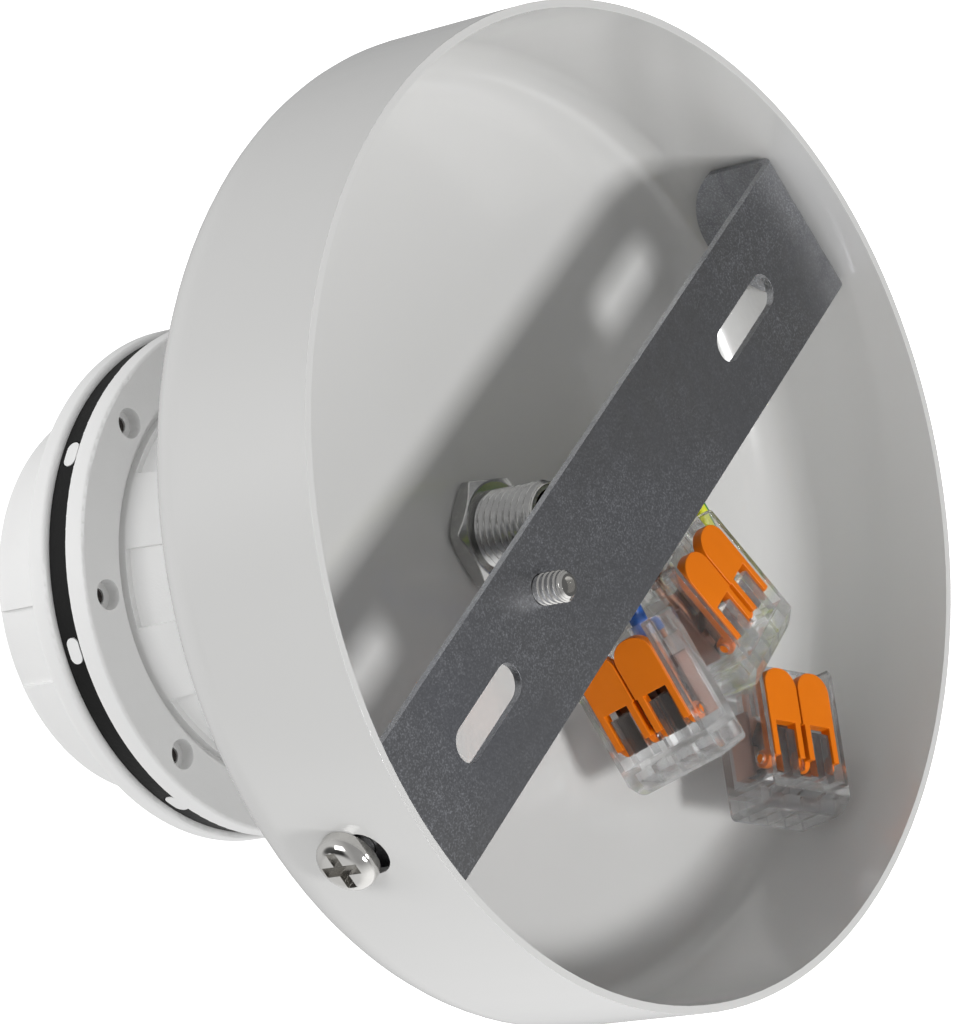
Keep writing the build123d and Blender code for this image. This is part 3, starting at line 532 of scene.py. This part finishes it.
# Leads
# Single-core copper leads in PVC: brown and blue run from the socket through the nipple,
# and the yellow and green one runs from the earth terminal. All end in the connectors.
def lead_line(route):
    """Points along the smooth quadratic spline whose control points are the route's, in millimetres."""
    curve = bpy.data.curves.new("lead_line", "CURVE")
    curve.dimensions = "3D"
    curve.resolution_u = 12
    spline = curve.splines.new("NURBS")
    spline.points.add(len(route) - 1)
    for point, place in zip(spline.points, route):
        point.co = (*place, 1.0)
    spline.order_u = 3
    spline.use_endpoint_u = True
    guide = bpy.data.objects.new("lead_line", curve)
    line = bpy.data.meshes.new_from_object(guide)
    points = np.array([vertex.co for vertex in line.vertices])
    bpy.data.objects.remove(guide)
    bpy.data.curves.remove(curve)
    bpy.data.meshes.remove(line)
    return points


def lead_mesh(name, path, radius):
    """A round tube along a path, 24 sided, closed to a point on the centre line at both ends.

    Each ring stands square to the path on two directions carried along it with no twist. The
    attribute stripe goes from 1 down to 0 and back twice in a turn round the lead.
    """
    ahead = np.gradient(path, axis=0)
    ahead /= np.linalg.norm(ahead, axis=1, keepdims=True)
    first = np.cross(ahead[0], (0.3, 0.5, 0.8))
    sides = []
    for direction in ahead:
        first = first - direction * (first @ direction)
        first = first / np.linalg.norm(first)
        sides.append(first)
    sides = np.array(sides)
    others = np.cross(ahead, sides)
    corners = 24
    around = np.linspace(0, 2 * math.pi, corners, endpoint=False)[None, :, None]
    ring = np.cos(around) * sides[:, None] + np.sin(around) * others[:, None]
    width = np.concatenate([[0], np.full(len(path), radius), [0]])
    rows = np.concatenate([[0], np.arange(len(path)), [len(path) - 1]])
    mesh = grid_mesh(name, path[rows][:, None] + width[:, None, None] * ring[rows], ring=True)
    stripe_turn = 4
    share = np.tile(np.abs((np.arange(corners) + stripe_turn) % 12 / 6 - 1), len(rows))
    mesh.attributes.new("stripe", "FLOAT", "POINT").data.foreach_set("value", share)
    work = bmesh.new()
    work.from_mesh(mesh)
    bmesh.ops.remove_doubles(work, verts=work.verts, dist=1e-7)
    work.to_mesh(mesh)
    work.free()
    return mesh


def insulation(name, dark, pale):
    """Glossy PVC, slightly mottled between a dark and a pale tone."""
    material, place = finish(name, roughness=0.32)
    cloud = noise(place, 350.0, 3.0)
    feed(material, "Base Color", mix(place, cloud, dark, pale))
    feed(material, "Roughness", noise(place, 1200.0) * 0.14 + 0.28)
    return material


brown_pvc = insulation("pvc_brown", (0.11, 0.042, 0.018), (0.16, 0.062, 0.028))
blue_pvc = insulation("pvc_blue", (0.012, 0.075, 0.32), (0.02, 0.11, 0.42))
earth_pvc, earth_place = finish("pvc_earth", roughness=0.32)
earth_stripe = earth_place.node("ShaderNodeAttribute", {"attribute_name": "stripe"}, {}, 2)
earth_green = step(earth_place, earth_stripe, 0.58, 0.64)
feed(earth_pvc, "Base Color", mix(earth_place, earth_green, (0.62, 0.66, 0.02), (0.015, 0.24, 0.035)))
feed(earth_pvc, "Roughness", noise(earth_place, 1200.0) * 0.14 + 0.28)
brown_route = [
    (-5.9, -46.17, 2.25), (-2.1, -45.57, 2.25), (-1.7, -39.17, 0.0), (-1.7, -10.7, 0.0),
    (-5.5, -8.6, -5.0), (-8.4, -13.0, -9.2), (-9.78, -15.58, -12.17), (-9.63, -14.48, -17.66),
]
blue_route = [
    (5.9, -46.17, 2.25), (2.1, -45.57, 2.25), (1.7, -39.17, 0.0), (1.7, -10.7, 0.0),
    (1.4, -8.2, -6.0), (-1.6, -12.0, -10.4), (-2.3, -14.13, -14.07), (-0.44, -12.73, -19.16),
]
earth_route = [
    (9.55, -7.3, 3.2), (4.1, -7.3, 3.2), (-3.0, -9.0, 3.6), (-12.0, -10.4, 0.5), (-19.0, -12.0, -7.5),
    (-22.2, -14.2, -17.0), (-23.4, -16.6, -26.5), (-19.63, -17.87, -35.51), (-14.7, -16.68, -39.57),
]
lead_radius = 1.1
for lead_node, route, pvc, lead_slot in (
    ("lead_brown", brown_route, brown_pvc, "insulation_brown"),
    ("lead_blue", blue_route, blue_pvc, "insulation_blue"),
    ("lead_earth", earth_route, earth_pvc, "insulation_earth"),
):
    lead_name = lead_node + "_skin"
    lead = show(lead_name, lead_mesh(lead_name, lead_line(route), lead_radius), pvc, 60)
    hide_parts(lead_node)
    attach(lead, "fixture")

# Bare ends
# The stripped copper of each lead, under its terminal screw or in its connector.
copper = clouded_metal("copper", 500.0, (0.60, 0.26, 0.14), (0.80, 0.42, 0.26), 0.28, 0.14)
dressed("bare_conductors", copper)
